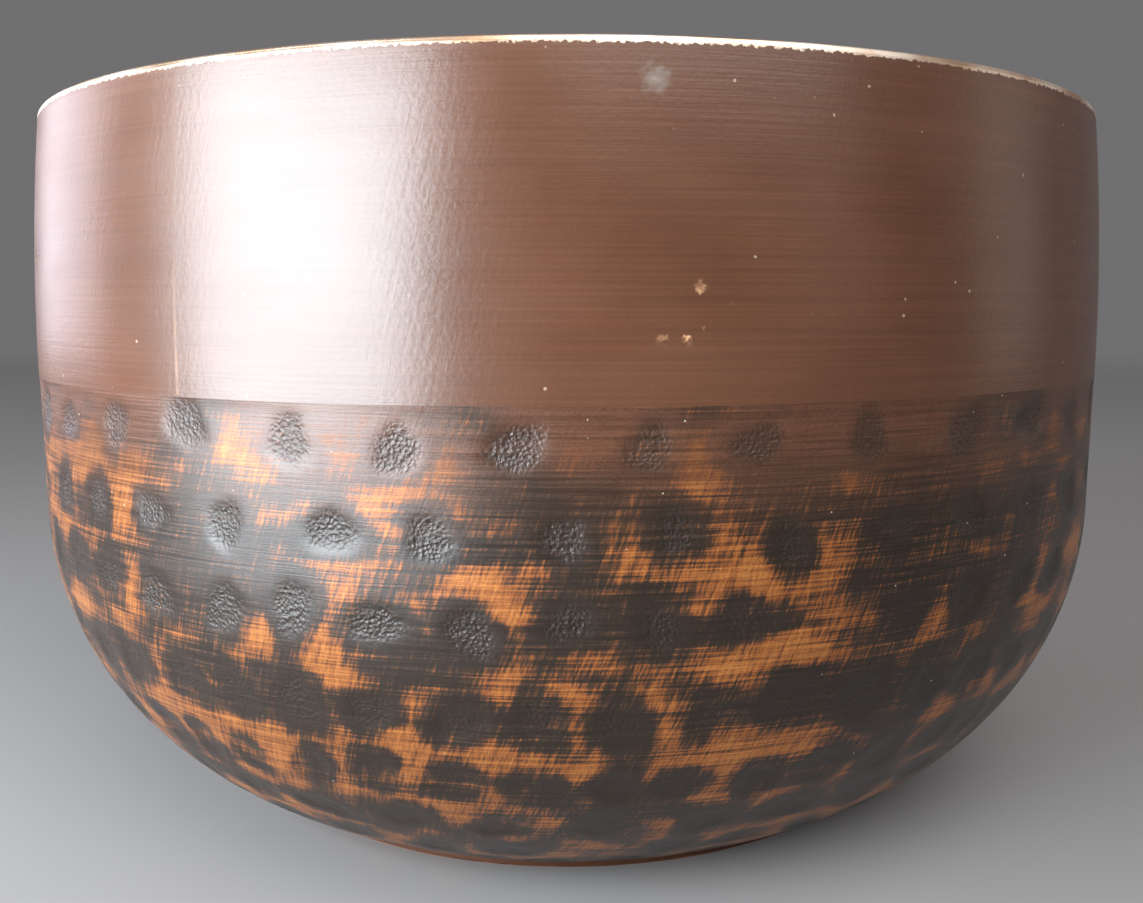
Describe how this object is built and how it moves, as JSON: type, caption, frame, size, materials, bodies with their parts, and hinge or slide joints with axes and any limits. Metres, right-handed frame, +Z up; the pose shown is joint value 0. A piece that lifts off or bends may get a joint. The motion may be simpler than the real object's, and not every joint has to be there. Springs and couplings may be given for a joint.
{
  "type": "bowl",
  "caption": "Deep round copper bowl with a smooth turned wall, a hammered and rubbed lower half, a bright lip, a tinned inside and a low foot.",
  "frame": {"origin": "on the bowl's axis, in the plane that the foot stands on", "axes": "+Z up along the bowl's axis, towards the mouth; -Y is the front, and the wall's upright seam is on the front's left"},
  "size_m": [0.15, 0.15, 0.091],
  "materials": {
    "brown_copper": "satin brown patina, turned",
    "hammered_copper": "dark patina, hammered and rubbed through to copper",
    "bright_lip": "ground bright",
    "braze": "as filed",
    "tin": "hand-wiped, satin"
  },
  "bodies": {
    "root": {"smooth_wall": "brown_copper", "wall_seam_braze": "braze", "hammered_bowl": "hammered_copper", "waist_braze": "braze", "lip_ring": "bright_lip", "lip_braze": "braze", "foot_ring": "brown_copper", "foot_braze": "braze", "tin_lining": "tin"}
  },
  "joints": []
}
